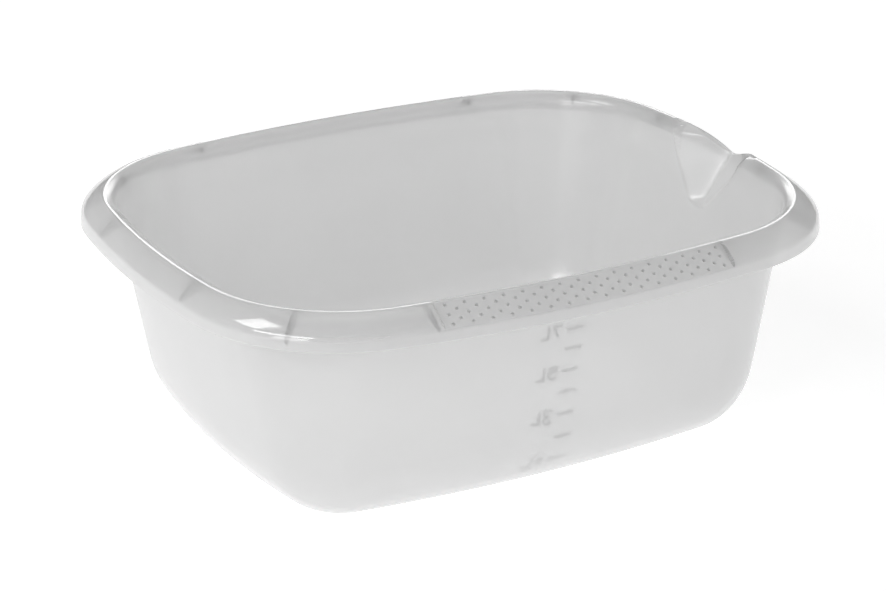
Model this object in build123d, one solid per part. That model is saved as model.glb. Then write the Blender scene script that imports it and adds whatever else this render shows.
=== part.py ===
from build123d import *
import os
from collections import namedtuple
from math import atan2, cos, hypot, pi, sin, sqrt, tan

# Washing-up bowl, one moulding in translucent plastic, about 10 litres to the brim.
# +Z is up, +X points to the end with the pouring spout, and the origin is under the
# middle of the flat base. The moulding is divided into the zones that a person would
# name. The zones meet face to face, so together they are the whole bowl.

# Overall size over the rim, in mm
rim_length = 384.0
rim_width = 322.0
height = 134.5

# Plan of the rim's outer edge
rim_side_radius = 670.0
rim_end_radius = 594.0
rim_corner_radius = 92.0

# Crest of the rim, the highest line, which lies inside the outer edge
end_reach = 12.2
side_reach = 15.7
crest_side_radius = 843.0
crest_end_radius = 532.0
crest_corner_radius = 83.0
crest_half_width = 0.9
brim_round_width = 7.0
brim_round_height = 6.0
brim_round_trim = 0.2

# Slope of the rim from its crest to its shoulder, and the upright skirt below
shoulder_drop = 9.2
dome_bulge = 0.9
skirt_height = 7.5
skirt_lean = 0.75
rim_wall = 2.0

# Bowl below the rim
crest_to_wall = 4.4
end_taper = 25.0
side_taper = 23.6
base_side_radius = 822.0
base_end_radius = 480.0
foot_width = 24.5
foot_height = 35.0
foot_corner_core = 16.0
wall = 1.8
floor_wall = 2.2

# Recessed finger grip along the middle of each long side
grip_length = 174.0
grip_top_share = 0.02
grip_top_drop = 0.5
grip_sink = 1.1

# Pips on each grip
pip_diameter = 1.7
pip_height = 0.6
pip_pitch = 10.86
pip_long_row = 16
pip_rows = 5
pip_top_share = 0.11
pip_low_share = 0.83

# Pouring spout, a V groove that leaves the end wall and cuts through the rim
spout_half_width = 44.0
spout_depth = 45.7
spout_reach = 23.8
spout_tip_round = 16.0
spout_valley_round = 2.5
lip_drop = 11.9
lip_half_width = 31.0
lip_round = 8.0

# Stiffening gussets under the rim
gusset_thickness = 1.5
gusset_depth = 8.0
gusset_clear = 1.2
end_gusset_place = 53.0
side_gusset_gap = 2.0

# Litre scale, raised on the inside of the front wall
tick_length = 9.8
tick_width = 1.2
tick_place = 2.0
mark_height = 0.4
figure_height = 6.6
figure_width = 4.2
figure_stroke = 0.9
figure_place = -8.8
unit_place = -16.1
litre_shares = (0.133, 0.245, 0.350, 0.454, 0.552, 0.651, 0.741)

# How far the end and side zones run past the end gussets and the grips
end_zone_margin = 4.0
side_zone_margin = 5.0

# Levels that shape each rounding, and how far cuts run past what they cut
rounding_steps = 6
overrun = 5.0

Outline = namedtuple("Outline", "half_length half_width side_radius end_radius corner_radius")


def grown(plan, by):
    """The same plan with every point moved outward by one distance."""
    return Outline(*(size + by for size in plan))


def between(low, high, share):
    """A plan part of the way from one plan to another, or past it."""
    return Outline(*(a + (b - a) * share for a, b in zip(low, high)))


shoulder_z = height - shoulder_drop
skirt_z = shoulder_z - skirt_height
grip_z = shoulder_z - grip_sink
rim_plan = Outline(rim_length / 2, rim_width / 2, rim_side_radius, rim_end_radius, rim_corner_radius)
shoulder_plan = grown(rim_plan, -skirt_lean)
crest_plan = Outline(
    rim_length / 2 - end_reach,
    rim_width / 2 - side_reach,
    crest_side_radius,
    crest_end_radius,
    crest_corner_radius,
)
slope_plan = grown(crest_plan, crest_half_width)
brim_plan = grown(crest_plan, -crest_to_wall)
base_plan = Outline(
    brim_plan.half_length - end_taper,
    brim_plan.half_width - side_taper,
    base_side_radius,
    base_end_radius,
    foot_width + foot_corner_core,
)

# Mean width and pitch of the rim's slope
slope_width = (end_reach + side_reach) / 2 - skirt_lean - crest_half_width
slope_angle = atan2(shoulder_drop, slope_width)


def corner_of(plan):
    """Centre of the corner arc, and the directions in which it meets the end and the side."""
    side_y = plan.half_width - plan.side_radius
    end_x = plan.half_length - plan.end_radius
    span = hypot(end_x, side_y)
    to_side = plan.side_radius - plan.corner_radius
    to_end = plan.end_radius - plan.corner_radius
    along = (to_side**2 - to_end**2 + span**2) / (2 * span)
    across = sqrt(to_side**2 - along**2)
    step_x = end_x / span
    step_y = -side_y / span
    x = along * step_x + across * abs(step_y)
    y = side_y + along * step_y + across * abs(step_x)
    return x, y, atan2(y, x - end_x), atan2(y - side_y, x)


def plan_wire(plan, z):
    """Closed plan of eight tangent arcs: two ends, two sides and four corners."""
    corner_x, corner_y, meets_end, meets_side = corner_of(plan)

    def corner_point(angle):
        radius = plan.corner_radius
        return corner_x + radius * cos(angle), corner_y + radius * sin(angle)

    end_x, end_y = corner_point(meets_end)
    mid_x, mid_y = corner_point((meets_end + meets_side) / 2)
    side_x, side_y = corner_point(meets_side)
    points = (
        (end_x, -end_y),
        (plan.half_length, 0),
        (end_x, end_y),
        (mid_x, mid_y),
        (side_x, side_y),
        (0, plan.half_width),
        (-side_x, side_y),
        (-mid_x, mid_y),
        (-end_x, end_y),
        (-plan.half_length, 0),
        (-end_x, -end_y),
        (-mid_x, -mid_y),
        (-side_x, -side_y),
        (0, -plan.half_width),
        (side_x, -side_y),
        (mid_x, -mid_y),
        (end_x, -end_y),
    )
    spots = [Vector(x, y, z) for x, y in points]
    arcs = zip(spots[0::2], spots[1::2], spots[2::2])
    return Wire([Edge.make_three_point_arc(*arc) for arc in arcs])


def block(*levels, ruled=True):
    """Solid through plans at several heights, each level a plan and its z."""
    return Solid.make_loft([plan_wire(plan, z) for plan, z in levels], ruled=ruled)


def joined(first, *others):
    """One shape from several that touch or overlap."""
    return first.fuse(*others)


def box_between(low, high):
    """Box from its lowest to its highest corner."""
    size = [b - a for a, b in zip(low, high)]
    return Pos(*low) * Box(*size, align=(Align.MIN, Align.MIN, Align.MIN))


def wall_plan(z, inset=0.0):
    """Plan of the bowl's wall at a height, before its foot and brim are rounded."""
    return grown(between(base_plan, brim_plan, z / height), -inset)


def foot_levels(inset, rise):
    """Levels of the rounded foot, from the flat floor up to the wall."""
    for step in range(rounding_steps + 1):
        angle = pi / 2 * step / rounding_steps
        z = rise + (foot_height - rise) * (1 - cos(angle))
        yield grown(wall_plan(z, inset), (inset - foot_width) * (1 - sin(angle))), z


def brim_levels(inset):
    """Levels of the rounded inner brim, which the flat crest trims."""
    for step in range(rounding_steps + 1):
        angle = pi / 2 * step / rounding_steps
        z = height + brim_round_trim - brim_round_height * (1 - sin(angle))
        yield grown(wall_plan(z, inset), brim_round_width * (1 - cos(angle))), z


def bowl_outside(top_z):
    """Outer form of the tapered bowl up to a height, with its rounded foot."""
    foot = block(*foot_levels(0, 0), ruled=False)
    sides = block((wall_plan(foot_height), foot_height), (wall_plan(top_z), top_z))
    return joined(foot, sides)


def bowl_inside(skin=0.0):
    """Hollow of the bowl up to just past the crest, drawn in by a skin."""
    inset = wall + skin
    foot = block(*foot_levels(inset, floor_wall + skin), ruled=False)
    low_z = height + brim_round_trim - brim_round_height
    sides = block((wall_plan(foot_height, inset), foot_height), (wall_plan(low_z, inset), low_z))
    brim = block(*brim_levels(inset), ruled=False)
    return joined(foot, sides, brim)


def rim_block(thickness, foot_z):
    """Everything under the rim's slope and within its skirt, less a thickness."""
    fold_drop = thickness * tan((pi / 2 - slope_angle) / 2)
    middle = grown(between(slope_plan, shoulder_plan, 1 / 2), (dome_bulge - thickness) * sin(slope_angle))
    middle_z = height - shoulder_drop / 2 + (dome_bulge - thickness) * cos(slope_angle)
    fold = (grown(shoulder_plan, -thickness), shoulder_z - fold_drop)
    slope = block(
        (grown(slope_plan, -thickness * tan(slope_angle / 2)), height - thickness),
        (middle, middle_z),
        fold,
        ruled=False,
    )
    skirt = block(fold, (grown(rim_plan, -thickness), foot_z))
    return joined(slope, skirt)


def grip_plan(z, thickness):
    """Plan of a grip's straight slope at a height, from the crest down past the skirt."""
    top_z = height - grip_top_drop
    share = grip_top_share + (1 - grip_top_share) * (top_z - z) / (top_z - grip_z)
    pitch = atan2(top_z - grip_z, (1 - grip_top_share) * (side_reach - skirt_lean - crest_half_width))
    return grown(between(slope_plan, shoulder_plan, share), -thickness / sin(pitch))


def grip_cut(thickness, margin):
    """Space above both grips, which the rim's slope gives up."""
    low_z = skirt_z - overrun
    high_z = height + overrun
    slope = block((grip_plan(low_z, thickness), low_z), (grip_plan(high_z, thickness), high_z))
    half = grip_length / 2 + margin
    space = box_between((-half, -rim_width, low_z), (half, rim_width, high_z))
    middle = brim_plan.half_width - overrun
    space -= box_between((-rim_length, -middle, 0), (rim_length, middle, height + 2 * overrun))
    return space - slope


def rim_outside():
    """Outer form of the rim, with its two grips."""
    return rim_block(0, skirt_z) - grip_cut(0, 0)


def rim_inside():
    """Space under the rim, between the skirt and the middle of the bowl."""
    return rim_block(rim_wall, skirt_z - overrun) - grip_cut(rim_wall, rim_wall)


def spout_block(thickness):
    """Form of the spout's groove, or of the outside of its wall at a thickness."""
    low_z = height - spout_depth
    wall_lean = end_taper / height
    lean = spout_reach / spout_depth + wall_lean
    flank = spout_half_width / spout_reach
    valley_x = wall_plan(low_z, wall).half_length
    tip = thickness * hypot(1, 1 / flank, lean)
    rise = spout_depth + 2 * overrun
    back = spout_reach * 2
    section = Polygon((tip, 0), (tip - back, back * flank), (tip - back, -back * flank), align=None)
    section = fillet(section.vertices().sort_by(Axis.X)[-1], spout_valley_round + thickness)
    start = Pos(valley_x - lean * overrun, 0, low_z - overrun) * section
    groove = extrude(start, amount=rise * hypot(1, lean), dir=(lean, 0, 1))
    limb = spout_half_width / spout_depth
    drop = thickness * hypot(1, limb) / limb
    tall = rise + drop
    side = Polygon((0, -drop), (tall * limb, tall - drop), (-tall * limb, tall - drop), align=None)
    side = fillet(side.vertices().sort_by(Axis.Y)[0], spout_tip_round + thickness)
    end_on = Plane((0, 0, low_z), x_dir=(0, 1, 0), z_dir=(1, 0, 0))
    return groove & extrude(end_on * side, amount=rim_length)


def spout_outside():
    """Outer form of the spout, kept within the rim."""
    low_z = height - spout_depth - overrun
    under = block((rim_plan, low_z), (rim_plan, skirt_z))
    return spout_block(wall) & joined(rim_block(0, skirt_z), under)


def lip_cut():
    """Space over the spout's lip, a shallow V with a round bottom."""
    slope = lip_half_width / lip_drop
    tall = lip_drop + overrun
    side = Polygon((0, 0), (tall * slope, tall), (-tall * slope, tall), align=None)
    side = fillet(side.vertices().sort_by(Axis.Y)[0], lip_round)
    end_on = Plane((0, 0, height - lip_drop), x_dir=(0, 1, 0), z_dir=(1, 0, 0))
    return extrude(end_on * side, amount=rim_length)


def gusset(x, y, out_x, out_y, room):
    """One upright plate between the bowl and the skirt, trimmed to the room there."""
    low_in = -gusset_depth
    low_out = -(shoulder_drop + skirt_height - gusset_clear)
    fall = (low_out - low_in) / (slope_width + crest_half_width + crest_to_wall)
    back = side_reach
    side = Polygon(
        (-back, low_in + fall * (crest_to_wall - back)),
        (back, low_in + fall * (crest_to_wall + back)),
        (back, overrun),
        (-back, overrun),
        align=None,
    )
    plane = Plane((x, y, height), x_dir=(out_x, out_y, 0), z_dir=(out_y, -out_x, 0))
    return extrude(plane * side, amount=gusset_thickness / 2, both=True) & room


def gussets(room):
    """Gussets by zone: two under each end, two under each side and one at each corner."""
    corner_x, corner_y, meets_end, meets_side = corner_of(crest_plan)
    turn = (meets_end + meets_side) / 2
    at_x = corner_x + crest_plan.corner_radius * cos(turn)
    at_y = corner_y + crest_plan.corner_radius * sin(turn)
    side_x = grip_length / 2 + side_gusset_gap
    zones = {}
    for sx in (-1, 1):
        for sy in (-1, 1):
            end = gusset(sx * crest_plan.half_length, sy * end_gusset_place, sx, 0, room)
            side = gusset(sx * side_x, sy * crest_plan.half_width, 0, sy, room)
            corner = gusset(sx * at_x, sy * at_y, sx * cos(turn), sy * sin(turn), room)
            zones.setdefault("left_gussets" if sx < 0 else "right_gussets", []).append(end)
            zones.setdefault("front_gussets" if sy < 0 else "back_gussets", []).append(side)
            zones.setdefault("corner_gussets", []).append(corner)
    return zones


def side_y(plan, x):
    """Half width of a plan at a place along its long side."""
    return plan.half_width - plan.side_radius + sqrt(plan.side_radius**2 - x**2)


def pips(side):
    """Small round pips in staggered rows on one grip, -1 for the front and 1 for the back."""
    ball_radius = (pip_diameter**2 / 4 + pip_height**2) / (2 * pip_height)
    cap = Pos(0, 0, pip_height - ball_radius) * Sphere(ball_radius)
    cap &= box_between((-ball_radius, -ball_radius, 0), (ball_radius, ball_radius, ball_radius))
    top_z = height - grip_top_drop
    made = []
    for row in range(pip_rows):
        share = pip_top_share + (pip_low_share - pip_top_share) * row / (pip_rows - 1)
        z = top_z + (grip_z - top_z) * share
        plan = grip_plan(z, 0)
        count = pip_long_row - row % 2
        for number in range(count):
            x = (number - (count - 1) / 2) * pip_pitch
            top = Vector(x, side * side_y(grip_plan(top_z, 0), x), top_z)
            low = Vector(x, side * side_y(grip_plan(grip_z, 0), x), grip_z)
            along = Vector(-side, x / (side_y(plan, x) - plan.half_width + plan.side_radius), 0)
            plane = Plane(Vector(x, side * side_y(plan, x), z), x_dir=along, z_dir=(low - top).cross(along))
            made.append(plane * cap)
    return made


def figure(name):
    """Centre lines of one figure, in the middle of its height and width."""
    w = figure_width / 2
    h = figure_height / 2
    if name == "7":
        return Polyline((-w, h), (w, h), (-w / 3, -h))
    if name == "1":
        return Polyline((-w / 2, h / 2), (w / 4, h), (w / 4, -h))
    if name == "L":
        return Polyline((-w, h), (-w, -h), (w, -h))
    if name == "5":
        return Polyline((w, h), (-w, h), (-w, h / 4)) + ThreePointArc((-w, h / 4), (w, -h / 3), (-w, -h))
    upper = ThreePointArc((-w, h), (w, h / 2), (-w / 4, 0))
    return upper + ThreePointArc((-w / 4, 0), (w, -h / 2), (-w, -h))


def litre_scale(inside):
    """Ticks at each litre, and figures at the odd litres, raised from the wall."""
    core = bowl_inside(mark_height)
    ticks = []
    figures = []

    def raised(shape, x, z):
        face = Plane((x, 0, z), x_dir=(-1, 0, 0), z_dir=(0, 1, 0)) * shape
        return (extrude(face, amount=-rim_width) & inside) - core

    for number, share in enumerate(litre_shares, start=1):
        z = height * share
        ticks.append(raised(Rectangle(tick_length, tick_width), tick_place, z))
        if number % 2:
            figures.append(raised(trace(figure(str(number)), figure_stroke), figure_place, z))
            figures.append(raised(trace(figure("L"), figure_stroke), unit_place, z))
    return ticks, figures


def zone_boxes():
    """Upright boxes that part the bowl into its ends, sides and corners."""
    inner_x = grip_length / 2 + side_zone_margin
    inner_y = end_gusset_place + end_zone_margin
    far_x = rim_length
    far_y = rim_width
    spans_x = {"left": (-far_x, -inner_x), "": (-inner_x, inner_x), "right": (inner_x, far_x)}
    spans_y = {"front": (-far_y, -inner_y), "": (-inner_y, inner_y), "back": (inner_y, far_y)}
    boxes = {}
    for name_y, (low_y, high_y) in spans_y.items():
        for name_x, (low_x, high_x) in spans_x.items():
            name = "_".join(word for word in (name_y, name_x) if word)
            low = (low_x, low_y, -overrun)
            high = (high_x, high_y, height + 2 * overrun)
            boxes[name] = box_between(low, high)
    return boxes


def build():
    """Every zone of the bowl, as its node's name and shapes."""
    split_z = height - shoulder_drop
    inside = bowl_inside()
    spout_form = spout_outside()
    openings = [spout_block(0), lip_cut()]
    flat_plan = grown(base_plan, -foot_width)
    floor_form = block((flat_plan, -overrun), (flat_plan, floor_wall + overrun))

    shell = bowl_outside(split_z) - inside
    floor_plate = shell & floor_form
    shell = shell - [floor_form, spout_form]
    outer = rim_outside()
    under = rim_inside()
    collar = block((wall_plan(split_z), split_z), (brim_plan, height))
    rim = joined(outer - under, collar) - inside
    room = under - [bowl_outside(height), spout_form]
    fold_z = grip_z - rim_wall
    below = box_between((-rim_length, -rim_width, 0), (rim_length, rim_width, fold_z))
    skirt = rim & below
    rim = rim - below

    nodes = {"floor": [floor_plate], "spout": [spout_form - [inside, *openings]]}
    grips = ("front", "back")
    for zone, box in zone_boxes().items():
        if not zone:
            continue
        wall_name = f"{zone}_corner_wall" if "_" in zone else f"{zone}_wall"
        nodes[wall_name] = [shell & box]
        nodes[f"{zone}_grip" if zone in grips else f"{zone}_rim"] = [(rim & box) - [spout_form, *openings]]
        nodes[f"{zone}_skirt"] = [(skirt & box) - [spout_form, *openings]]
    nodes.update(gussets(room))
    nodes["front_grip_pips"] = pips(-1)
    nodes["back_grip_pips"] = pips(1)
    nodes["litre_ticks"], nodes["litre_figures"] = litre_scale(inside)
    return nodes


if __name__ == "__main__":
    os.makedirs("parts", exist_ok=True)
    for node, shapes in build().items():
        solids = [solid for shape in shapes for solid in shape.solids()]
        export_step(Compound(children=solids), f"parts/{node}.step")
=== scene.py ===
from collections import namedtuple
from math import atan2, cos, hypot, pi, radians, sin, sqrt, tan

import bpy
import numpy as np
from mathutils import Matrix, Vector


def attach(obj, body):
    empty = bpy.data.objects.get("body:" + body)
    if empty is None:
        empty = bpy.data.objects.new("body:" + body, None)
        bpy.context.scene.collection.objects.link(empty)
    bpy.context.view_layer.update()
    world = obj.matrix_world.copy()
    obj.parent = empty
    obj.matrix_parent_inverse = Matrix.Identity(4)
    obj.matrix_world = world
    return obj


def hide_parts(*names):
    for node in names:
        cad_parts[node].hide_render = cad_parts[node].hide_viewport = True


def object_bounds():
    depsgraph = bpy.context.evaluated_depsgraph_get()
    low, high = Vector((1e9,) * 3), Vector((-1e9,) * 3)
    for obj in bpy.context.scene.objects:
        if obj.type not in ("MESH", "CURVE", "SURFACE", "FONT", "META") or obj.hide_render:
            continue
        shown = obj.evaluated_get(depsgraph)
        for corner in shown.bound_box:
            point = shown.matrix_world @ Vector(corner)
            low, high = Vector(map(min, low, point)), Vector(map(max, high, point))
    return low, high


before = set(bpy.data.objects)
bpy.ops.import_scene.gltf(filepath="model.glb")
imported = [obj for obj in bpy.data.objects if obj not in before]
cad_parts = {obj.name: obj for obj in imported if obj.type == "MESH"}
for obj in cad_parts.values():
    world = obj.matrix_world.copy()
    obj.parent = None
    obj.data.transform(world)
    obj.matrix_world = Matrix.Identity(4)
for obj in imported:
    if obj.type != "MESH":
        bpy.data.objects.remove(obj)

cad_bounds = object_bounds()

# Sizes are in mm, and become metres where a mesh is written.
MM = 0.001

# Overall size, read from the frame, and the heights of shoulder, skirt and grip below it
low_corner, high_corner = (np.array(corner) / MM for corner in cad_bounds)
RIM_LENGTH, RIM_WIDTH, HEIGHT = high_corner - low_corner
RIM_FALL, SKIRT_DEPTH, GRIP_SINK = 9.2, 7.5, 1.1
SHOULDER_Z = HEIGHT - RIM_FALL
SKIRT_Z = SHOULDER_Z - SKIRT_DEPTH
GRIP_Z = SHOULDER_Z - GRIP_SINK

# Shape of the rim in plan and in section. Radii are those of side, end and corner.
RIM_RADII, CREST_RADII = (670.0, 594.0, 92.0), (843.0, 532.0, 83.0)
END_REACH, SIDE_REACH = 12.2, 15.7
CREST_HALF_WIDTH = 0.9
SKIRT_LEAN = 0.75
DOME_BULGE = 0.9
RIM_WALL = 2.0
FOLD_ROUND_OUTSIDE, FOLD_ROUND_INSIDE = 2.4, 1.2
SKIRT_EDGE_ROUND = 0.6
CREST_EDGE_ROUND = 0.35
BRIM_ROUND_WIDTH, BRIM_ROUND_HEIGHT, BRIM_ROUND_TRIM = 7.0, 6.0, 0.2
UNDER_CORNER_ROUND = 1.2

# Bowl below the rim. Radii are those of side and end.
BASE_RADII = (822.0, 480.0)
CREST_TO_WALL = 4.4
END_TAPER, SIDE_TAPER = 25.0, 23.6
FOOT_WIDTH, FOOT_HEIGHT, FOOT_CORNER_CORE = 24.5, 35.0, 16.0
WALL, FLOOR_WALL = 1.8, 2.2

# Grips in the long sides
GRIP_HALF = 87.0
GRIP_EDGE, GRIP_FOLD = 0.9, 0.6
GRIP_TOP_SHARE, GRIP_TOP_DROP = 0.02, 0.5
PIP_RADIUS, PIP_HEIGHT, PIP_PITCH = 0.85, 0.6, 10.86
PIP_LONG_ROW, PIP_ROWS, PIP_TOP_SHARE, PIP_LOW_SHARE = 16, 5, 0.11, 0.83
PIP_RINGS, PIP_SIDES = 4, 14

# Spout: how deep its V groove starts, the groove's slopes and tip, and the lip
SPOUT_HALF = 47.0
SPOUT_DEPTH, SPOUT_TIP_DEPTH, LIP_DEPTH = 46.3, 40.0, 11.9
SPOUT_LOW_Z, SPOUT_TIP_Z, LIP_Z = HEIGHT - SPOUT_DEPTH, HEIGHT - SPOUT_TIP_DEPTH, HEIGHT - LIP_DEPTH
SPOUT_RISE = 0.535
SPOUT_FLANK = 0.60
SPOUT_VALLEY_ROUND = 1.4
SPOUT_TIP_RISE = 1.6
SPOUT_TIP_ROUND = 16.0
SPOUT_SOFTNESS, SPOUT_MARGIN = 1.0, 1.0
SPOUT_WALL = 2.4
LIP_SLOPE = 0.384
LIP_ROUND = 3.0
LIP_EDGE = 0.8
LIP_BLEND = 5.5

# Gussets under the rim
GUSSET_THICKNESS, GUSSET_DEPTH, GUSSET_CLEAR, GUSSET_EDGE = 1.5, 8.0, 1.2, 0.3
END_GUSSET, SIDE_GUSSET = 53.0, 89.0

# Litre scale on the inside of the front wall
LITRE_SHARES = (0.133, 0.245, 0.350, 0.454, 0.552, 0.651, 0.741)
TICK_LENGTH, TICK_PLACE, MARK_WIDTH, MARK_HEIGHT = 9.8, 2.0, 1.1, 0.4
FIGURE_WIDTH, FIGURE_HEIGHT, FIGURE_STROKE = 4.2, 6.6, 0.95
FIGURE_PLACE, UNIT_PLACE = -8.8, -16.1
FIGURE_ARC_POINTS = 15

# Section of a raised stroke, as shares of its width and height. Its root is sunk in the wall.
STROKE_ROOT, STROKE_MITRE = -3.0, 0.5
STROKE_SECTION = [
    (-0.5, STROKE_ROOT),
    (-0.5, 0.35),
    (-0.36, 0.8),
    (0, 1.0),
    (0.36, 0.8),
    (0.5, 0.35),
    (0.5, STROKE_ROOT),
]

# Columns round the moulding: along the end with the spout, along the plain end and round a corner,
# and along a side in three stretches, each from one share of the arc to another
SPOUT_END_COLUMNS, PLAIN_END_COLUMNS, CORNER_COLUMNS = 62, 18, 38
SIDE_STRETCHES = ((0, 0.1, 5), (0.1, 0.245, 44), (0.245, 1, 28))

# Rows up the moulding, from the middle of the floor to the skirt's bottom edge. The first is a
# small ring round the middle, given as a share of the floor.
FLOOR_HUB = 0.03
FLOOR_ROWS, FOOT_ROWS, LOW_ROWS, HIGH_ROWS = 8, 12, 8, 34
ROUND_ROWS, BAND_ROWS, EDGE_ROWS, FOLD_ROWS, BOTTOM_ROWS = 6, 4, 4, 10, 5
SLOPE_ROWS, SLOPE_FIRST, SLOPE_LAST = 13, 2, 9
SKIRT_SHARES = (0.45, 0.6, 0.75)

# Places where one zone gives way to the next, the outer rows past the brim that are still milky,
# and the plastics of the moulding's faces
SIDE_SPLIT, END_SPLIT = 92.0, 57.0
MILKY_BRIM_ROWS = 4
MILKY_OUTER, MILKY_INNER, CLEAR, SEAM = range(4)
TINY = 1e-12

# Floor in metres: its paint, the glow that evens it out, and a little more for the camera
FLOOR_HALF = 6.0
FLOOR_TONE, FLOOR_TONE_RANGE = 0.93, 0.01
FLOOR_GRAIN, FLOOR_BUMP, FLOOR_BUMP_DISTANCE = (40.0, 4.0), 0.05, 0.001
FLOOR_GLOW, FLOOR_LIFT = 0.46, 0.02

# Light: the way from which the surroundings are brightest, their least and greatest strength, and
# soft lights with their place and size in metres and power in watts
WHITE = (1.0, 1.0, 1.0, 1.0)
BRIGHT_WAY = (-0.30, -0.93, -0.20)
WORLD_SIDES = (0.0, 0.90)
LIGHT_AIM = Vector((0, 0, 0.1))
LIGHTS = {
    "key_light": {"place": (-1.42, -0.6, 0.98), "size": (1.1, 0.28), "power": 4.2},
    "wedge_light": {"place": (-1.1, 0.25, 1.5), "size": (0.45, 0.6), "power": 3.0},
    "side_light": {"place": (-1.45, -0.84, 0.36), "size": (0.62, 0.5), "power": 2.2},
    "back_light": {"place": (0.95, 1.7, 0.86), "size": (1.0, 0.5), "power": 6.0},
    "top_light": {"place": (0.2, 0.5, 2.2), "size": (1.6, 1.2), "power": 2.5},
}

# Camera, matched to the photo. Its place is in metres, its lens in mm, its turns in degrees.
CAMERA_PLACE = (-0.7023, -1.2833, 0.6679)
CAMERA_LENS, CAMERA_SENSOR, CAMERA_SHIFT, CAMERA_FAR = 113.64, 36.0, -0.0072, 50.0
CAMERA_AZIMUTH, CAMERA_ELEVATION, CAMERA_ROLL = -28.7, 22.21, -0.29

Outline = namedtuple("Outline", "half_length half_width side_radius end_radius corner_radius")


def grown(plan, by):
    """The same plan with every point moved outward by one distance."""
    return Outline(*(size + by for size in plan))


def between(low, high, share):
    """A plan part of the way from one plan to another, or past it."""
    return Outline(*(a + (b - a) * share for a, b in zip(low, high)))


rim_plan = Outline(RIM_LENGTH / 2, RIM_WIDTH / 2, *RIM_RADII)
shoulder_plan = grown(rim_plan, -SKIRT_LEAN)
crest_plan = Outline(RIM_LENGTH / 2 - END_REACH, RIM_WIDTH / 2 - SIDE_REACH, *CREST_RADII)
slope_plan = grown(crest_plan, CREST_HALF_WIDTH)
brim_plan = grown(crest_plan, -CREST_TO_WALL)
base_plan = Outline(
    brim_plan.half_length - END_TAPER,
    brim_plan.half_width - SIDE_TAPER,
    *BASE_RADII,
    FOOT_WIDTH + FOOT_CORNER_CORE,
)
SLOPE_WIDTH = (END_REACH + SIDE_REACH) / 2 - SKIRT_LEAN - CREST_HALF_WIDTH
SLOPE_ANGLE = atan2(HEIGHT - SHOULDER_Z, SLOPE_WIDTH)


def corner_of(plan):
    """Centre of the corner arc, and the directions in which it meets the end and the side."""
    side_y = plan.half_width - plan.side_radius
    end_x = plan.half_length - plan.end_radius
    span = hypot(end_x, side_y)
    to_side = plan.side_radius - plan.corner_radius
    to_end = plan.end_radius - plan.corner_radius
    along = (to_side**2 - to_end**2 + span**2) / (2 * span)
    across = sqrt(to_side**2 - along**2)
    x = (along * end_x + across * abs(side_y)) / span
    y = side_y + (across * abs(end_x) - along * side_y) / span
    return x, y, atan2(y, x - end_x), atan2(y - side_y, x)


def stations():
    """Columns round the bowl: for each, the signs of its quadrant, its arc and its place on the arc."""
    right_end = [("end", share) for share in np.linspace(0, 1, SPOUT_END_COLUMNS)]
    left_end = [("end", share) for share in np.linspace(0, 1, PLAIN_END_COLUMNS)]
    corner = [("corner", share) for share in np.linspace(0, 1, CORNER_COLUMNS)[1:-1]]
    stretches = [np.linspace(*stretch)[:-1] for stretch in SIDE_STRETCHES]
    side = [("side", share) for share in (*np.concatenate(stretches), 1.0)]
    right = right_end + corner + side
    left = left_end + corner + side
    columns = [(1, 1, *spot) for spot in right]
    columns += [(-1, 1, *spot) for spot in left[-2::-1]]
    columns += [(-1, -1, *spot) for spot in left[1:]]
    columns += [(1, -1, *spot) for spot in right[-2:0:-1]]
    return columns


COLUMNS = stations()
SIGN_X = np.array([column[0] for column in COLUMNS], float)
SIGN_Y = np.array([column[1] for column in COLUMNS], float)
ARC = np.array([("end", "corner", "side").index(column[2]) for column in COLUMNS])
SHARE = np.array([column[3] for column in COLUMNS])
COUNT = len(COLUMNS)


def ring(plan):
    """Points of a plan at every column, and the outward direction there."""
    corner_x, corner_y, meets_end, meets_side = corner_of(plan)
    angle = np.choose(ARC, [
        meets_end * SHARE,
        meets_end + (meets_side - meets_end) * SHARE,
        meets_side + (pi / 2 - meets_side) * SHARE,
    ])
    radius = np.choose(ARC, [plan.end_radius, plan.corner_radius, plan.side_radius])
    centre_x = np.choose(ARC, [plan.half_length - plan.end_radius, corner_x, 0.0])
    centre_y = np.choose(ARC, [0.0, corner_y, plan.half_width - plan.side_radius])
    x = SIGN_X * (centre_x + radius * np.cos(angle))
    y = SIGN_Y * (centre_y + radius * np.sin(angle))
    return np.stack([x, y], -1), np.stack([SIGN_X * np.cos(angle), SIGN_Y * np.sin(angle)], -1)


def level(plan, z):
    """Ring of points in space."""
    return np.column_stack([ring(plan)[0], np.full(COUNT, float(z))])


def wall_plan(z, inset=0.0):
    """Plan of the bowl's wall at a height, before its foot and brim are rounded."""
    return grown(between(base_plan, brim_plan, z / HEIGHT), -inset)


def wall_ring(heights, inset):
    """Points of the wall at a height given for each column."""
    low = ring(grown(base_plan, -inset))[0]
    high = ring(grown(brim_plan, -inset))[0]
    share = (heights / HEIGHT)[:, None]
    return np.column_stack([low + (high - low) * share, heights])


def soft_max(a, b, softness):
    """The larger of two values, with a rounded change from one to the other."""
    return np.maximum(a, b) + np.maximum(softness - np.abs(a - b), 0) ** 2 / (4 * softness)


def soft_min(a, b, softness):
    """The smaller of two values, with a rounded change from one to the other."""
    return -soft_max(-a, -b, softness)


def smooth(share):
    """A change from 0 to 1 that starts and ends level."""
    share = np.clip(share, 0, 1)
    return share * share * (3 - 2 * share)


AT_SPOUT = (SIGN_X > 0) & (ARC == 0)


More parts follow.
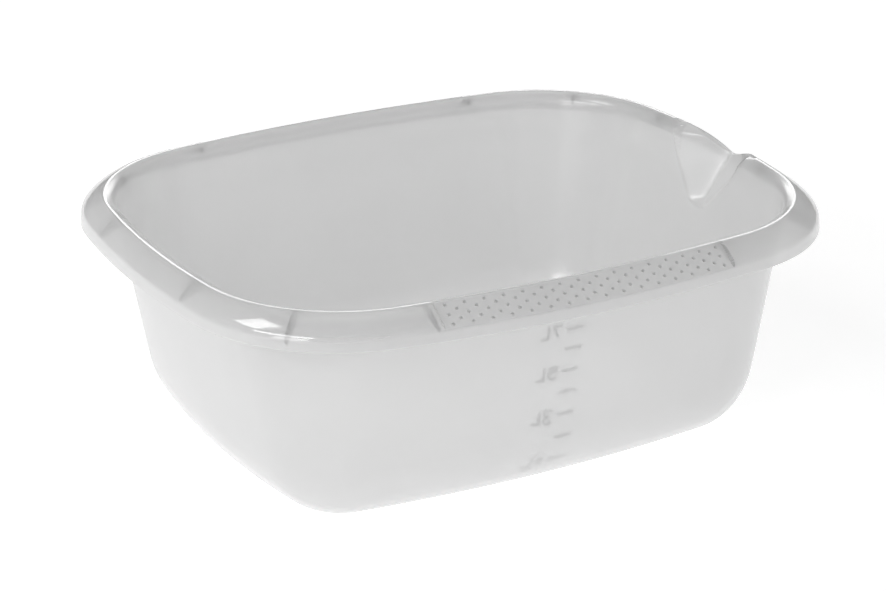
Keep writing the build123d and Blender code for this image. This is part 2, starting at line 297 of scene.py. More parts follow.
def groove_depth(y, z, extra=0.0):
    """How far the spout's groove reaches out from the inner face of the end wall."""
    across = np.sqrt(y**2 + SPOUT_VALLEY_ROUND**2) - SPOUT_VALLEY_ROUND
    flanks = SPOUT_RISE * (z - SPOUT_LOW_Z) - SPOUT_FLANK * across
    tip = SPOUT_TIP_RISE * (z - SPOUT_TIP_Z - y**2 / (2 * SPOUT_TIP_ROUND))
    return soft_min(flanks, tip, SPOUT_SOFTNESS) + extra


def with_groove(points, inset):
    """Wall points pushed out into the spout's groove. inset is that of the wall's face."""
    extra = SPOUT_WALL - WALL if inset == 0 else 0.0
    depth = groove_depth(points[:, 1], points[:, 2], extra)
    pushed = soft_max(depth, np.zeros(COUNT), SPOUT_SOFTNESS)
    moved = points.copy()
    moved[:, 0] += np.where(AT_SPOUT, pushed, 0.0)
    return moved


def lip_height(y):
    """Height of the crest at each column, which dips over the spout."""
    dip = LIP_Z + LIP_SLOPE * (np.sqrt(y**2 + LIP_ROUND**2) - LIP_ROUND * (1 - LIP_SLOPE))
    return np.where(AT_SPOUT, soft_min(dip, np.full(COUNT, HEIGHT), LIP_BLEND), HEIGHT)


def bend(a, b, c, rows):
    """Rows of a rounded corner at b, from a to c, as a quadratic curve between levels."""
    shares = np.linspace(0, 1, rows)
    return [(1 - s) ** 2 * a + 2 * s * (1 - s) * b + s * s * c for s in shares]


def toward(a, b, distance):
    """Points at one distance from a on the way to b."""
    way = b - a
    return a + way / np.linalg.norm(way, axis=1)[:, None] * distance


def slope_rows(drop):
    """Rows of the rim's slope between its two ends, less a thickness."""
    rows = []
    for share in np.linspace(0, 1, SLOPE_ROWS):
        bulge = DOME_BULGE * 4 * share * (1 - share) - drop
        plan = grown(between(slope_plan, shoulder_plan, share), bulge * sin(SLOPE_ANGLE))
        z = HEIGHT - (HEIGHT - SHOULDER_Z) * share + bulge * cos(SLOPE_ANGLE)
        rows.append(level(plan, z))
    return rows


def skirt_rows(slope, fold, bottom, inner, reach):
    """Rows down a slope, round the fold and down the skirt to the middle of its bottom edge."""
    rows = slope[SLOPE_FIRST : SLOPE_LAST + 1]
    rows += bend(toward(fold, slope[SLOPE_LAST], reach), fold, toward(fold, bottom, reach), FOLD_ROWS)
    rows += [fold + (bottom - fold) * share for share in SKIRT_SHARES]
    rows += bend(toward(bottom, fold, SKIRT_EDGE_ROUND), bottom, inner, BOTTOM_ROWS)
    return rows


def outer_rim():
    """Rows from the crest's outer edge over slope, fold and skirt to the bottom edge."""
    slope = slope_rows(0)
    crest = level(slope_plan, HEIGHT)
    before = level(grown(slope_plan, -CREST_EDGE_ROUND * 2), HEIGHT)
    fold = level(shoulder_plan, SHOULDER_Z)
    bottom = level(rim_plan, SKIRT_Z)
    inner = level(grown(rim_plan, -RIM_WALL / 2), SKIRT_Z)
    after = toward(crest, slope[SLOPE_FIRST], CREST_EDGE_ROUND * 2)
    rows = bend(before, crest, after, EDGE_ROWS)
    return np.array(rows + skirt_rows(slope, fold, bottom, inner, FOLD_ROUND_OUTSIDE))


def inner_rim():
    """Rows under the rim from the outer face of the wall to the skirt's bottom edge."""
    under_z = HEIGHT - RIM_WALL
    fold_drop = RIM_WALL * tan((pi / 2 - SLOPE_ANGLE) / 2)
    slope = slope_rows(RIM_WALL)
    top = level(grown(slope_plan, -RIM_WALL * tan(SLOPE_ANGLE / 2)), under_z)
    corner = level(wall_plan(under_z), under_z)
    below = level(wall_plan(under_z - UNDER_CORNER_ROUND), under_z - UNDER_CORNER_ROUND)
    fold = level(grown(shoulder_plan, -RIM_WALL), SHOULDER_Z - fold_drop)
    bottom = level(grown(rim_plan, -RIM_WALL), SKIRT_Z)
    inner = level(grown(rim_plan, -RIM_WALL / 2), SKIRT_Z)
    rows = bend(below, corner, toward(corner, top, UNDER_CORNER_ROUND), EDGE_ROWS)
    return np.array(rows + skirt_rows(slope, fold, bottom, inner, FOLD_ROUND_INSIDE))


def panel_height(rows, drop):
    """Height of a grip's flat slope over every point of some rows."""
    start, outward = ring(slope_plan)
    width = ((ring(shoulder_plan)[0] - start) * outward).sum(-1)
    out = ((rows[:, :, :2] - start) * outward).sum(-1)
    top_z = HEIGHT - GRIP_TOP_DROP
    fall = (top_z - GRIP_Z) / ((1 - GRIP_TOP_SHARE) * width)
    return top_z - (out - GRIP_TOP_SHARE * width) * fall - drop * np.hypot(1, fall)


def with_grips(rows, drop):
    """Rim rows with the two grips pressed in."""
    heights = panel_height(rows, drop)
    amount = smooth((GRIP_HALF + drop - np.abs(rows[:, :, 0])) / GRIP_EDGE + 0.5) * (ARC == 2)
    sunk = soft_min(rows[:, :, 2], heights, GRIP_FOLD)
    made = rows.copy()
    made[:, :, 2] += (sunk - rows[:, :, 2]) * amount
    return made


def along(rows, places):
    """Points at given places down each column, a whole place being a row."""
    low = np.clip(np.floor(places).astype(int), 0, len(rows) - 2)
    part = (places - low)[:, :, None]
    column = np.arange(COUNT)
    return rows[low, column] * (1 - part) + rows[low + 1, column] * part


def from_place(rows, start):
    """The same rows drawn together into the stretch from a start place to the last row."""
    last = len(rows) - 1
    return along(rows, start + (last - start) * (np.arange(last + 1) / last)[:, None])


def last_crossing(values):
    """Place of the last change from positive to negative down each column, or 0."""
    places = np.zeros(COUNT)
    for j in range(COUNT):
        signs = np.where((values[:-1, j] > 0) & (values[1:, j] <= 0))[0]
        if len(signs):
            k = signs[-1]
            places[j] = k + values[k, j] / (values[k, j] - values[k + 1, j])
    return places


def moulding():
    """Two faces of the moulding as matching rows, and the row where each stretch of it starts.

    The outer rows run up the outside of the wall and on under the rim. The inner rows run up
    the inside, over the crest and down the rim. Both end in the skirt's bottom edge.
    """
    outer = with_grips(outer_rim(), 0)
    under = with_grips(inner_rim(), RIM_WALL)

    lip = lip_height(outer[0][:, 1])
    dips = AT_SPOUT & (lip < HEIGHT - CREST_EDGE_ROUND)
    outer = from_place(outer, last_crossing(np.where(dips, outer[:, :, 2] - lip, -1.0)))
    lip = np.where(AT_SPOUT, np.minimum(lip, outer[0][:, 2]), HEIGHT)
    face_x = under[0][:, 0] + (under[:, :, 2] - under[0][:, 2]) * END_TAPER / HEIGHT
    groove = groove_depth(under[:, :, 1], under[:, :, 2], SPOUT_WALL - WALL)
    under = from_place(under, last_crossing(np.where(AT_SPOUT, face_x + groove - under[:, :, 0], -1.0)))

    a_rows, b_rows = [], []
    for share in np.linspace(FLOOR_HUB, 1, FLOOR_ROWS)[:-1]:
        for rows, z in ((a_rows, 0.0), (b_rows, FLOOR_WALL)):
            rows.append(level(grown(wall_plan(z), -FOOT_WIDTH), z) * [share, share, 1])
    starts = {"foot": len(a_rows)}
    for angle in np.linspace(0, pi / 2, FOOT_ROWS):
        for rows, rise, inset in ((a_rows, 0.0, 0.0), (b_rows, FLOOR_WALL, WALL)):
            z = rise + (FOOT_HEIGHT - rise) * (1 - cos(angle))
            plan = grown(wall_plan(z, inset), (inset - FOOT_WIDTH) * (1 - sin(angle)))
            rows.append(level(plan, z))
    low_z = SPOUT_LOW_Z - SPOUT_MARGIN
    for z in np.linspace(FOOT_HEIGHT, low_z, LOW_ROWS)[1:-1]:
        a_rows.append(level(wall_plan(z), z))
        b_rows.append(level(wall_plan(z, WALL), z))
    starts["spout"] = len(a_rows)

    dipped = smooth((HEIGHT - lip) / BRIM_ROUND_HEIGHT)
    brim_height = BRIM_ROUND_HEIGHT + (LIP_EDGE - BRIM_ROUND_HEIGHT) * dipped
    brim_width = BRIM_ROUND_WIDTH + (LIP_EDGE - BRIM_ROUND_WIDTH) * dipped
    brim_turn = np.arcsin(1 - BRIM_ROUND_TRIM / brim_height)
    lip_low = lip + BRIM_ROUND_TRIM - brim_height
    outward = ring(crest_plan)[1]
    for share in np.linspace(0, 1, HIGH_ROWS)[:-1]:
        a_z = low_z + (under[0][:, 2] - low_z) * share
        b_z = low_z + (lip_low - low_z) * share
        a_rows.append(with_groove(wall_ring(a_z, 0), 0))
        b_rows.append(with_groove(wall_ring(b_z, WALL), WALL))
    starts["brim"] = len(a_rows)
    for share in np.linspace(0, 1, ROUND_ROWS):
        angle = brim_turn * share
        row = with_groove(wall_ring(lip_low + brim_height * np.sin(angle), WALL), WALL)
        row[:, :2] += outward * (brim_width * (1 - np.cos(angle)))[:, None]
        b_rows.append(row)
    edge = b_rows[-1]
    starts["crest"] = len(b_rows)
    b_rows += [edge + (outer[0] - edge) * share for share in np.linspace(0, 1, BAND_ROWS + 1)[1:-1]]
    b_rows += list(outer[:EDGE_ROWS])
    starts["slope"] = len(b_rows)
    places = np.linspace(0, EDGE_ROWS - 1, len(b_rows) - len(a_rows))
    a_rows += list(along(under, np.repeat(places[:, None], COUNT, 1)))
    a_rows += list(under[EDGE_ROWS:])
    b_rows += list(outer[EDGE_ROWS:])
    heights = np.array(b_rows)[:, COUNT // 2, 2]
    rim = np.arange(len(heights))
    starts["rim"] = int(np.argmax(heights > SHOULDER_Z))
    starts["skirt"] = int(rim[(rim > starts["slope"]) & (heights < GRIP_Z - RIM_WALL)][0])
    return np.array(a_rows), np.array(b_rows), starts


def grid_normals(rows):
    """Unit normals of a grid of rows that closes on itself round the bowl."""
    down = np.gradient(rows, axis=0)
    round_way = np.roll(rows, -1, 1) - np.roll(rows, 1, 1)
    normals = np.cross(down, round_way)
    return normals / np.maximum(np.linalg.norm(normals, axis=-1, keepdims=True), TINY)


OUTER, INNER, STARTS = moulding()
OUTER_NORMALS, INNER_NORMALS = -grid_normals(OUTER), grid_normals(INNER)
ROWS = len(OUTER)


def placed(name, data):
    """New object in the scene."""
    made = bpy.data.objects.new(name, data)
    bpy.context.scene.collection.objects.link(made)
    return made


def new_piece(name, vertices, faces, materials, slots=None, normals=None):
    """Mesh object from points in mm."""
    mesh = bpy.data.meshes.new(name)
    mesh.from_pydata([tuple(v) for v in np.asarray(vertices) * MM], [], faces)
    for material in materials:
        mesh.materials.append(material)
    if slots is not None:
        mesh.polygons.foreach_set("material_index", slots)
    mesh.polygons.foreach_set("use_smooth", [True] * len(faces))
    if normals is not None:
        mesh.normals_split_custom_set([tuple(n) for n in normals])
    mesh.validate()
    mesh.update()
    return placed(name, mesh)


def zone_piece(name, cells, materials):
    """Closed piece of the moulding over some cells of its grid, with seams where it parts."""
    index = {}
    vertices, faces, slots, normals = [], [], [], []

    def spot(side, k, j):
        j %= COUNT
        key = (0 if k == ROWS - 1 else side, k, j)
        if key not in index:
            index[key] = len(vertices)
            vertices.append((OUTER, INNER)[side][k, j])
        return index[key]

    def add(corners, slot):
        spots = [spot(*corner) for corner in corners]
        points = [vertices[n] for n in spots]
        if slot == SEAM:
            flat = np.cross(points[2] - points[0], points[3] - points[1])
            flat /= max(np.linalg.norm(flat), TINY)
            ways = [flat] * 4
        else:
            ways = [(OUTER_NORMALS, INNER_NORMALS)[side][k, j % COUNT] for side, k, j in corners]
        kept = [n for n in range(4) if spots[n] != spots[n - 1]]
        faces.append([spots[n] for n in kept])
        slots.append(slot)
        normals.extend(ways[n] for n in kept)

    clear_outer = STARTS["brim"] + MILKY_BRIM_ROWS
    clear_inner = STARTS["crest"]
    for k, j in zip(*np.where(cells)):
        k, j = int(k), int(j)
        a, b, c, d = (k, j), (k, j + 1), (k + 1, j + 1), (k + 1, j)
        add([(0, *corner) for corner in (a, b, c, d)], CLEAR if k >= clear_outer else MILKY_OUTER)
        add([(1, *corner) for corner in (a, d, c, b)], CLEAR if k >= clear_inner else MILKY_INNER)
        parts = {
            (b, a): k > 0 and not cells[k - 1, j],
            (d, c): k + 2 < ROWS and not cells[k + 1, j],
            (a, d): not cells[k, j - 1],
            (c, b): not cells[k, (j + 1) % COUNT],
        }
        for first, second in (edge for edge, parted in parts.items() if parted):
            add([(0, *first), (0, *second), (1, *second), (1, *first)], SEAM)
    if cells[0].all():
        for side, rows, up in ((0, OUTER, -1.0), (1, INNER, 1.0)):
            hub = len(vertices)
            vertices.append(np.array([0.0, 0.0, rows[0, 0, 2]]))
            for j in range(COUNT):
                pair = [spot(side, 0, j), spot(side, 0, j + 1)]
                faces.append([hub, *(pair if side else pair[::-1])])
                slots.append(MILKY_INNER if side else MILKY_OUTER)
                normals.extend([(0.0, 0.0, up)] * 3)
    return new_piece(name, vertices, faces, materials, slots, normals)


def zone_cells():
    """Cells of every zone, by the name of the CAD node that it stands for."""
    here = ring(crest_plan)[0]
    middle = (here + np.roll(here, -1, 0)) / 2
    x, y = middle[:, 0], middle[:, 1]
    words_x = np.where(x > SIDE_SPLIT, "right", np.where(x < -SIDE_SPLIT, "left", ""))
    words_y = np.where(y > END_SPLIT, "back", np.where(y < -END_SPLIT, "front", ""))
    zones = np.array(["_".join(filter(None, pair)) for pair in zip(words_y, words_x)])
    k = np.arange(ROWS - 1)[:, None]
    above_foot = k >= STARTS["foot"]
    at_rim = k >= STARTS["rim"]
    at_skirt = k >= STARTS["skirt"]
    spout = (x > 0) & (np.abs(y) < SPOUT_HALF) & (k >= STARTS["spout"]) & ~at_skirt
    cells = {"floor": np.repeat(~above_foot, COUNT, 1), "spout": spout}
    for zone in sorted(set(zones)):
        here = zones == zone
        wall = f"{zone}_corner_wall" if "_" in zone else f"{zone}_wall"
        rim = f"{zone}_grip" if zone in ("front", "back") else f"{zone}_rim"
        cells[wall] = here & above_foot & ~at_rim & ~spout
        cells[rim] = here & at_rim & ~at_skirt & ~spout
        cells[f"{zone}_skirt"] = here & at_skirt
    return cells


def merged(shapes):
    """Vertices and faces of several shapes as one."""
    vertices, faces = [], []
    for points, sides in shapes:
        faces += [[n + len(vertices) for n in side] for side in sides]
        vertices += list(points)
    return vertices, faces


def plate(outline, away, edge):
    """Plate with bevelled edges from its outline on the middle plane, counter-clockwise seen from away."""
    points = np.array(outline)
    count = len(points)
    middle = points.mean(0)
    ways = middle - points
    ways /= np.linalg.norm(ways, axis=1)[:, None]
    half = GUSSET_THICKNESS / 2
    rows = [
        points + ways * edge + away * half,
        points + away * (half - edge),
        points - away * (half - edge),
        points + ways * edge - away * half,
    ]
    last = len(rows) - 1
    faces = [list(range(count)), [last * count + n for n in range(count)][::-1]]
    for r in range(last):
        for n in range(count):
            m = (n + 1) % count
            faces.append([r * count + n, (r + 1) * count + n, (r + 1) * count + m, r * count + m])
    return np.concatenate(rows), faces


def gusset(x, y, out_x, out_y):
    """One gusset: fills the corner between wall, rim and skirt down to its slanting lower edge."""
    out = np.array([out_x, out_y])
    side = np.array([-out_y, out_x])
    profile = []
    for row in OUTER[STARTS["spout"] :]:
        shift = row[:, :2] - [x, y]
        across = shift @ side
        reach = shift @ out
        near = (np.abs(reach) < 2 * SIDE_REACH) & (np.abs(across) < 2 * SIDE_REACH)
        cross = np.where(near & np.roll(near, -1) & (across <= 0) & (np.roll(across, -1) > 0))[0]
        if not len(cross):
            continue
        j = int(cross[0])
        m = (j + 1) % COUNT
        share = across[j] / (across[j] - across[m])
        profile.append([values[j] + (values[m] - values[j]) * share for values in (reach, row[:, 2])])
    low_in, low_out = -GUSSET_DEPTH, -(HEIGHT - SKIRT_Z - GUSSET_CLEAR)
    fall = (low_out - low_in) / (SLOPE_WIDTH + CREST_HALF_WIDTH + CREST_TO_WALL)
    kept = [(t, z) for t, z in profile if z > HEIGHT + low_in + fall * (t + CREST_TO_WALL)]
    outline = [(x + out_x * t, y + out_y * t, z) for t, z in kept]
    away = np.array([out_y, -out_x, 0.0])
    return plate(outline[::-1], away, GUSSET_EDGE)


def gussets():
    """Gussets by node: two under each end, two under each side and one at each corner."""
    corner_x, corner_y, meets_end, meets_side = corner_of(crest_plan)
    turn = (meets_end + meets_side) / 2
    at_x = corner_x + crest_plan.corner_radius * cos(turn)
    at_y = corner_y + crest_plan.corner_radius * sin(turn)
    zones = {}
    for sx in (-1, 1):
        for sy in (-1, 1):
            end = gusset(sx * crest_plan.half_length, sy * END_GUSSET, sx, 0)
            side = gusset(sx * SIDE_GUSSET, sy * crest_plan.half_width, 0, sy)
            corner = gusset(sx * at_x, sy * at_y, sx * cos(turn), sy * sin(turn))
            zones.setdefault("left_gussets" if sx < 0 else "right_gussets", []).append(end)
            zones.setdefault("front_gussets" if sy < 0 else "back_gussets", []).append(side)
            zones.setdefault("corner_gussets", []).append(corner)
    return zones


def half_width_at(plan, x):
    """Half width of a plan at a place along its long side."""
    return plan.half_width - plan.side_radius + sqrt(plan.side_radius**2 - x**2)


def dome(centre, normal):
    """Small round pip, a dome on a surface."""
    normal = normal / np.linalg.norm(normal)
    first = np.cross(normal, [1.0, 0.0, 0.0])
    first /= np.linalg.norm(first)
    second = np.cross(normal, first)
    points = []
    for r in range(PIP_RINGS):
        turn = pi / 2 * r / PIP_RINGS
        for n in range(PIP_SIDES):
            angle = 2 * pi * n / PIP_SIDES
            flat = (first * cos(angle) + second * sin(angle)) * PIP_RADIUS * cos(turn)
            points.append(centre + flat + normal * PIP_HEIGHT * sin(turn))
    points.append(centre + normal * PIP_HEIGHT)
    faces = [list(range(PIP_SIDES))[::-1]]
    for low in range(0, (PIP_RINGS - 1) * PIP_SIDES, PIP_SIDES):
        high = low + PIP_SIDES
        for n in range(PIP_SIDES):
            m = (n + 1) % PIP_SIDES
            faces.append([low + n, low + m, high + m, high + n])
    last, top = (PIP_RINGS - 1) * PIP_SIDES, PIP_RINGS * PIP_SIDES
    faces += [[last + n, last + (n + 1) % PIP_SIDES, top] for n in range(PIP_SIDES)]
    return points, faces


def pips(side):
    """Pips in staggered rows on one grip, -1 for the front and 1 for the back."""
    top_z = HEIGHT - GRIP_TOP_DROP
    top_plan = between(slope_plan, shoulder_plan, GRIP_TOP_SHARE)
    made = []
    for row in range(PIP_ROWS):
        share = PIP_TOP_SHARE + (PIP_LOW_SHARE - PIP_TOP_SHARE) * row / (PIP_ROWS - 1)
        z = top_z + (GRIP_Z - top_z) * share
        plan = between(slope_plan, shoulder_plan, GRIP_TOP_SHARE + (1 - GRIP_TOP_SHARE) * share)
        count = PIP_LONG_ROW - row % 2
        for number in range(count):
            x = (number - (count - 1) / 2) * PIP_PITCH
            y = half_width_at(plan, x)
            fall = (top_z - GRIP_Z) / (half_width_at(shoulder_plan, x) - half_width_at(top_plan, x))
            lean = x / (y - plan.half_width + plan.side_radius)
            made.append(dome(np.array([x, side * y, z]), np.array([lean * fall, side * fall, 1.0])))
    return made


def arc_through(first, middle, last):
    """Points along the arc through three points."""
    (ax, ay), (bx, by), (cx, cy) = first, middle, last
    a, b, c = ax**2 + ay**2, bx**2 + by**2, cx**2 + cy**2
    d = 2 * (ax * (by - cy) + bx * (cy - ay) + cx * (ay - by))
    ux = (a * (by - cy) + b * (cy - ay) + c * (ay - by)) / d
    uy = (a * (cx - bx) + b * (ax - cx) + c * (bx - ax)) / d
    radius = hypot(ax - ux, ay - uy)
    start = atan2(ay - uy, ax - ux)
    mid_turn = (atan2(by - uy, bx - ux) - start) % (2 * pi)
    end_turn = (atan2(cy - uy, cx - ux) - start) % (2 * pi)
    if end_turn < mid_turn:
        end_turn -= 2 * pi
    turns = np.linspace(0, end_turn, FIGURE_ARC_POINTS)
    return [(ux + radius * cos(start + t), uy + radius * sin(start + t)) for t in turns]


def figure(name):
    """Centre line of one figure, in the middle of its height and width."""
    w = FIGURE_WIDTH / 2
    h = FIGURE_HEIGHT / 2
    if name == "7":
        return [(-w, h), (w, h), (-w / 3, -h)]
    if name == "1":
        return [(-w / 2, h / 2), (w / 4, h), (w / 4, -h)]
    if name == "L":
        return [(-w, h), (-w, -h), (w, -h)]
    if name == "5":
        return [(w, h), (-w, h)] + arc_through((-w, h / 4), (w, -h / 3), (-w, -h))
    waist = (-w / 4, 0)
    return arc_through((-w, h), (w, h / 2), waist) + arc_through(waist, (w, -h / 2), (-w, -h))[1:]


def inner_y(x, z):
    """Place of the front wall's inner face, which curves inward at the foot."""
    drop = max(FOOT_HEIGHT - z, 0) / (FOOT_HEIGHT - FLOOR_WALL)
    plan = grown(wall_plan(z, WALL), (WALL - FOOT_WIDTH) * (1 - sqrt(1 - drop**2)))
    return -half_width_at(plan, x)


def stroke(line, x, z, width):
    """Raised stroke along a centre line, on the inside of the front wall."""
    line = np.array(line, float)
    steps = np.diff(line, axis=0)
    steps /= np.linalg.norm(steps, axis=1)[:, None]
    before = np.vstack([steps[:1], steps])
    after = np.vstack([steps, steps[-1:]])
    mean = before + after
    mean /= np.linalg.norm(mean, axis=1)[:, None]
    line[0] -= steps[0] * width / 2
    line[-1] += steps[-1] * width / 2
    stretch = 1 / np.maximum((mean * before).sum(1), STROKE_MITRE)
    sides = np.stack([-mean[:, 1], mean[:, 0]], -1) * stretch[:, None]
    points, faces = [], []
    for spot, way in zip(line, sides):
        for across, up in STROKE_SECTION:
            u, v = spot + way * across * width
            at_x, at_z = x - u, z + v
            y = inner_y(at_x, at_z)
            lean = (inner_y(at_x, at_z - MARK_WIDTH) - y) / MARK_WIDTH
            height = up * MARK_HEIGHT / hypot(1, lean)
            points.append((at_x, y + height, at_z + height * lean))
    size = len(STROKE_SECTION)
    for n in range(len(line) - 1):
        for m in range(size):
            o = (m + 1) % size
            faces.append([n * size + m, n * size + o, (n + 1) * size + o, (n + 1) * size + m])
    faces.append(list(range(size))[::-1])
    faces.append([(len(line) - 1) * size + m for m in range(size)])
    return points, faces


def litre_scale():
    """Ticks at each litre, and figures at the odd litres."""
    ticks, figures = [], []
    half = (TICK_LENGTH - MARK_WIDTH) / 2
    for number, share in enumerate(LITRE_SHARES, start=1):
        z = HEIGHT * share
        ticks.append(stroke([(-half, 0), (0, 0), (half, 0)], TICK_PLACE, z, MARK_WIDTH))
        if number % 2:
            figures.append(stroke(figure(str(number)), FIGURE_PLACE, z, FIGURE_STROKE))
            figures.append(stroke(figure("L"), UNIT_PLACE, z, FIGURE_STROKE))
    return ticks, figures


class Nodes:
    """Short way to write the nodes of a material, or of the world."""

    def __init__(self, owner):
        self.owner = owner
        owner.use_nodes = True
        self.tree = owner.node_tree
        self.tree.nodes.clear()

    def add(self, kind, settings=None, **inputs):
        """New node. An input is named, or is n and its number, and takes a value or a link."""
        node = self.tree.nodes.new(kind)
        for key, value in (settings or {}).items():
            setattr(node, key, value)
        for key, value in inputs.items():
            numbered = key[0] == "n" and key[1:].isdigit()
            socket = node.inputs[int(key[1:]) if numbered else key]
            if isinstance(value, bpy.types.NodeSocket):
                self.tree.links.new(value, socket)
            else:
                socket.default_value = value
        return node

    def noise(self, scale, detail, place):
        """Cloudy pattern between 0 and 1."""
        return self.add("ShaderNodeTexNoise", Scale=scale, Detail=detail, Vector=place).outputs["Fac"]

    def spread(self, value, low, high, to_low, to_high):
        """One range of values stretched to another."""
        node = self.add("ShaderNodeMapRange", n0=value, n1=low, n2=high, n3=to_low, n4=to_high)
        return node.outputs["Result"]

    def finish(self, surface, output="ShaderNodeOutputMaterial"):
        """Join the surface to an output, and give back what the nodes belong to."""
        self.add(output, Surface=surface)
        return self.owner


# What all the plastics share: noise ranges, bump in metres, and how face and edge shine
CLOUD_RANGE, WEAR_RANGE = (0.3, 0.7), (0.35, 0.65)
BUMP_DISTANCE = 0.0002
FACE_ROUGHNESS = 0.3
EDGE_BLEND = 0.5
GRAZING_POWER = 5.0
SHINE = (0.09, 0.8)


def plastic(name, look):
    """Translucent plastic: scatters light on both faces, lets some straight through and shines."""
    made = Nodes(bpy.data.materials.new(name))
    place = made.add("ShaderNodeTexCoord").outputs["Object"]
    cloud = made.noise(*look["cloud"], place)
    grain = made.noise(*look["grain"], place)
    wear = made.noise(*look["wear"], place)
    colour = made.spread(cloud, *CLOUD_RANGE, look["deep"], look["pale"])
    rough = made.spread(wear, *WEAR_RANGE, *look["roughness"])
    bump = made.add("ShaderNodeBump", Strength=look["bump"], Distance=BUMP_DISTANCE, Height=grain)
    normal = bump.outputs["Normal"]
    face = made.add("ShaderNodeBsdfDiffuse", Color=colour, Roughness=FACE_ROUGHNESS, Normal=normal).outputs[0]
    through = made.add("ShaderNodeBsdfTranslucent", Color=colour, Normal=normal).outputs[0]
    body = made.add("ShaderNodeMixShader", n0=look["through"], n1=face, n2=through).outputs[0]
    tint = (look["tint"], look["tint"], look["tint"], 1.0)
    open_way = made.add("ShaderNodeBsdfTransparent", Color=tint).outputs[0]
    thin = made.add("ShaderNodeLayerWeight", Blend=EDGE_BLEND, Normal=normal).outputs["Facing"]
    clear = made.spread(thin, 0.0, 1.0, look["clear_facing"], look["clear_edge"])
    body = made.add("ShaderNodeMixShader", n0=clear, n1=body, n2=open_way).outputs[0]
    shine = made.add("ShaderNodeBsdfGlossy", Color=WHITE, Roughness=rough, Normal=normal).outputs[0]
    grazing = made.add("ShaderNodeMath", {"operation": "POWER"}, n0=thin, n1=GRAZING_POWER).outputs[0]
    amount = made.spread(grazing, 0.0, 1.0, *SHINE)
    return made.finish(made.add("ShaderNodeMixShader", n0=amount, n1=body, n2=shine).outputs[0])


def seam_material():
    """Nothing to see where two zones of the moulding meet."""
    made = Nodes(bpy.data.materials.new("seam"))
    return made.finish(made.add("ShaderNodeBsdfTransparent", Color=WHITE).outputs[0])


# Looks of the plastics: scale and detail of each noise, tones, gloss, and how much light is
# scattered through and how much passes straight through, face on and at the edge
MILKY_LOOK = {
    "cloud": (18.0, 3.0),
    "grain": (900.0, 2.0),
    "wear": (60.0, 6.0),
    "deep": 0.93,
    "pale": 0.95,
    "tint": 0.80,
    "roughness": (0.16, 0.24),
    "bump": 0.10,
    "through": 0.5,
    "clear_facing": 0.36,
    "clear_edge": 0.05,
}
CLEAR_LOOK = {
    "cloud": (22.0, 3.0),
    "grain": (500.0, 2.0),
    "wear": (80.0, 6.0),
    "deep": 0.89,
    "pale": 0.92,
    "tint": 0.88,
    "roughness": (0.04, 0.09),
    "bump": 0.05,
    "through": 0.45,
    "clear_facing": 0.75,
    "clear_edge": 0.05,
}
INNER_LOOK = {**MILKY_LOOK, "tint": 0.84, "through": 0.6, "clear_facing": 0.72, "clear_edge": 0.2}
# Litre marks are the wall's own milky plastic with a darker tone painted in: painted shade for light bent
# away in the raised strokes
MARK_SHADED_LOOK = {**MILKY_LOOK, "deep": 0.50, "pale": 0.54, "clear_facing": 0.1}
# Pips are the rim's clear plastic with a darker tone painted in: painted shade for the shaded sides of the
# small bumps
PIP_SHADED_LOOK = {**CLEAR_LOOK, "deep": 0.52, "pale": 0.56, "clear_facing": 0.25, "through": 0.2}
# Gussets are the rim's clear plastic with a darker tone painted in: painted shade for light bent in the thin
# plates under the rim
GUSSET_SHADED_LOOK = {**CLEAR_LOOK, "deep": 0.42, "pale": 0.46, "clear_facing": 0.2}

milky = plastic("milky_plastic", MILKY_LOOK)
inner_milky = plastic("inner_plastic", INNER_LOOK)
glassy = plastic("glassy_plastic", CLEAR_LOOK)
# Gusset plastic: the clear plastic with painted shade in its darker tone
gusset_plastic_painted_shade = plastic("gusset_plastic_painted_shade", GUSSET_SHADED_LOOK)
# Pip plastic: the clear plastic with painted shade in its darker tone
pip_plastic_painted_shade = plastic("pip_plastic_painted_shade", PIP_SHADED_LOOK)
# Scale plastic: the milky plastic with painted shade in its darker tone
shaded_marking = plastic("scale_plastic_painted_shade", MARK_SHADED_LOOK)
seam = seam_material()


def stand_for(piece, node):
    """Put a piece on the bowl's one body, in the place of its CAD node."""
    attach(piece, "root")
    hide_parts(node)


for node, cells in zone_cells().items():
    piece = zone_piece(f"bowl.{node}", cells, (milky, inner_milky, glassy, seam))
    stand_for(piece, node)

tick_shapes, figure_shapes = litre_scale()
details = [(node, shapes, gusset_plastic_painted_shade, "rim") for node, shapes in gussets().items()]
details += [
    ("front_grip_pips", pips(-1), pip_plastic_painted_shade, "rim"),
    ("back_grip_pips", pips(1), pip_plastic_painted_shade, "rim"),
    ("litre_ticks", tick_shapes, shaded_marking, "scale"),
    ("litre_figures", figure_shapes, shaded_marking, "scale"),
]
for node, shapes, material, slot in details:
    stand_for(new_piece(f"{slot}.{node}", *merged(shapes), (material,)), node)


def floor_material():
    """Matt floor, lit evenly and white to the camera."""
    made = Nodes(bpy.data.materials.new("floor"))
    place = made.add("ShaderNodeTexCoord").outputs["Object"]
    grain = made.noise(*FLOOR_GRAIN, place)
    bump = made.add("ShaderNodeBump", Strength=FLOOR_BUMP, Distance=FLOOR_BUMP_DISTANCE, Height=grain)
    colour = made.spread(grain, 0.0, 1.0, FLOOR_TONE - FLOOR_TONE_RANGE, FLOOR_TONE)
    paint = made.add("ShaderNodeBsdfDiffuse", Color=colour, Normal=bump.outputs["Normal"]).outputs[0]
    camera_ray = made.add("ShaderNodeLightPath").outputs["Is Camera Ray"]
    lift = made.spread(camera_ray, 0.0, 1.0, FLOOR_GLOW, FLOOR_GLOW + FLOOR_LIFT)
    glow = made.add("ShaderNodeEmission", Color=WHITE, Strength=lift).outputs[0]
    return made.finish(made.add("ShaderNodeAddShader", n0=paint, n1=glow).outputs[0])


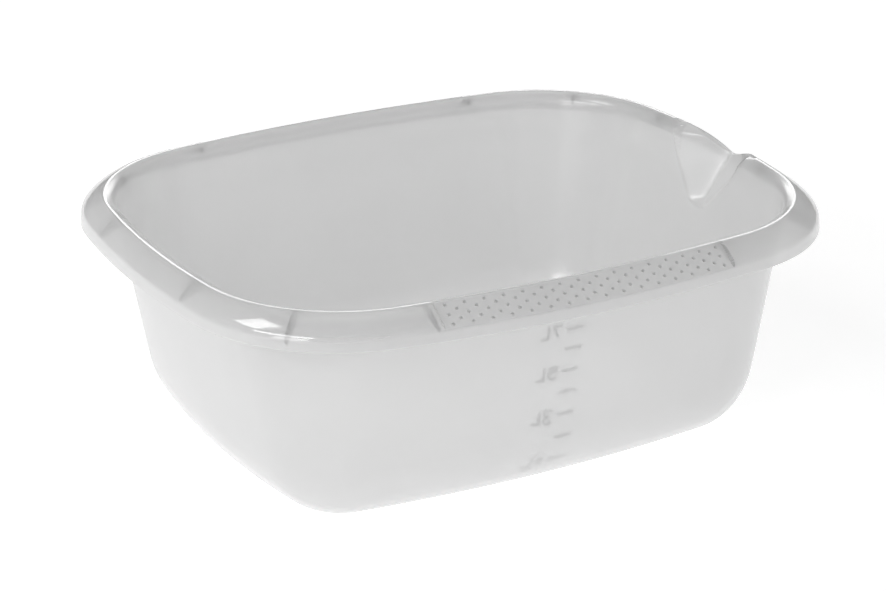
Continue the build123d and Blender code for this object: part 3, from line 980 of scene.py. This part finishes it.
def floor_sheet():
    """Plain square floor under the bowl."""
    mesh = bpy.data.meshes.new("floor_sheet")
    corners = [(-1, -1), (1, -1), (1, 1), (-1, 1)]
    mesh.from_pydata([(x * FLOOR_HALF, y * FLOOR_HALF, 0) for x, y in corners], [], [(0, 1, 2, 3)])
    mesh.materials.append(floor_material())
    return placed("floor_sheet", mesh)


def surroundings():
    """World that is white to the camera, and to all else brighter from one side."""
    made = Nodes(bpy.data.worlds.new("surroundings"))
    place = made.add("ShaderNodeTexCoord").outputs["Generated"]
    way = Vector(BRIGHT_WAY).normalized()
    toward_way = made.add("ShaderNodeVectorMath", {"operation": "DOT_PRODUCT"}, n0=place, n1=way)
    strength = made.spread(toward_way.outputs["Value"], -1.0, 1.0, *WORLD_SIDES)
    soft = made.add("ShaderNodeBackground", Color=WHITE, Strength=strength).outputs[0]
    white = made.add("ShaderNodeBackground", Color=WHITE, Strength=1.0).outputs[0]
    camera_ray = made.add("ShaderNodeLightPath").outputs["Is Camera Ray"]
    pick = made.add("ShaderNodeMixShader", n0=camera_ray, n1=soft, n2=white).outputs[0]
    return made.finish(pick, "ShaderNodeOutputWorld")


def softbox(name, place, size, power):
    """Rectangular soft light, aimed at the bowl."""
    light = bpy.data.lights.new(name, "AREA")
    light.shape = "RECTANGLE"
    light.size, light.size_y = size
    light.energy = power
    lamp = placed(name, light)
    lamp.location = place
    lamp.rotation_euler = (LIGHT_AIM - Vector(place)).to_track_quat("-Z", "Y").to_euler()


def photo_camera():
    """Camera at the photo's viewing angle, with its slight roll."""
    data = bpy.data.cameras.new("camera")
    data.lens = CAMERA_LENS
    data.sensor_width = CAMERA_SENSOR
    data.shift_x = CAMERA_SHIFT
    data.clip_end = CAMERA_FAR
    azimuth, elevation, roll = map(radians, (CAMERA_AZIMUTH, CAMERA_ELEVATION, CAMERA_ROLL))
    back = Vector((sin(azimuth) * cos(elevation), -cos(azimuth) * cos(elevation), sin(elevation)))
    right = Vector((cos(azimuth), sin(azimuth), 0))
    up = back.cross(right)
    rolled_right = right * cos(roll) + up * sin(roll)
    rolled_up = up * cos(roll) - right * sin(roll)
    turn = Matrix((rolled_right, rolled_up, back)).transposed().to_4x4()
    camera = placed("camera", data)
    camera.matrix_world = Matrix.Translation(Vector(CAMERA_PLACE)) @ turn
    return camera


floor_sheet()
bpy.context.scene.world = surroundings()
for name, light in LIGHTS.items():
    softbox(name, **light)
bpy.context.scene.camera = photo_camera()
bpy.context.scene.view_settings.view_transform = "Standard"
